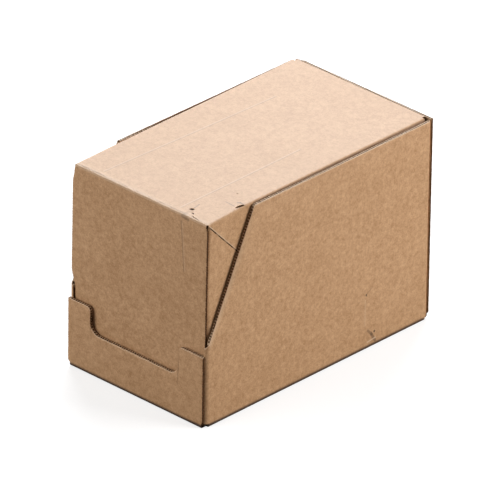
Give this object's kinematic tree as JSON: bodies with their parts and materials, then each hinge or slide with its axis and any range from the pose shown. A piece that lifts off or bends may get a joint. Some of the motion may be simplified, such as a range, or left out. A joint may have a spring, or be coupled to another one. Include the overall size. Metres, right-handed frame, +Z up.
{
  "type": "two-piece shipping carton with lid",
  "caption": "Two-piece corrugated carton: a tray with slant-cut sides, low dipped front and tall back, closed by a hood lid that slides down inside it.",
  "frame": {"origin": "middle of the tray's underside, on the surface that the carton stands on", "axes": "+Z up; the low dipped front faces -Y; +Y is the carton's length, towards the tall back wall; +X is its width"},
  "size_m": [0.174, 0.3, 0.208],
  "materials": {
    "kraft_board": "matte",
    "kraft_board_light": "matte"
  },
  "bodies": {
    "tray": {"tray": "kraft_board"},
    "lid": {"lid": "kraft_board_light"}
  },
  "joints": [
    {"name": "lid_lift", "type": "slide", "parent": "tray", "child": "lid", "axis": [0, 0, 1], "range_m": [0, 0.205]}
  ]
}
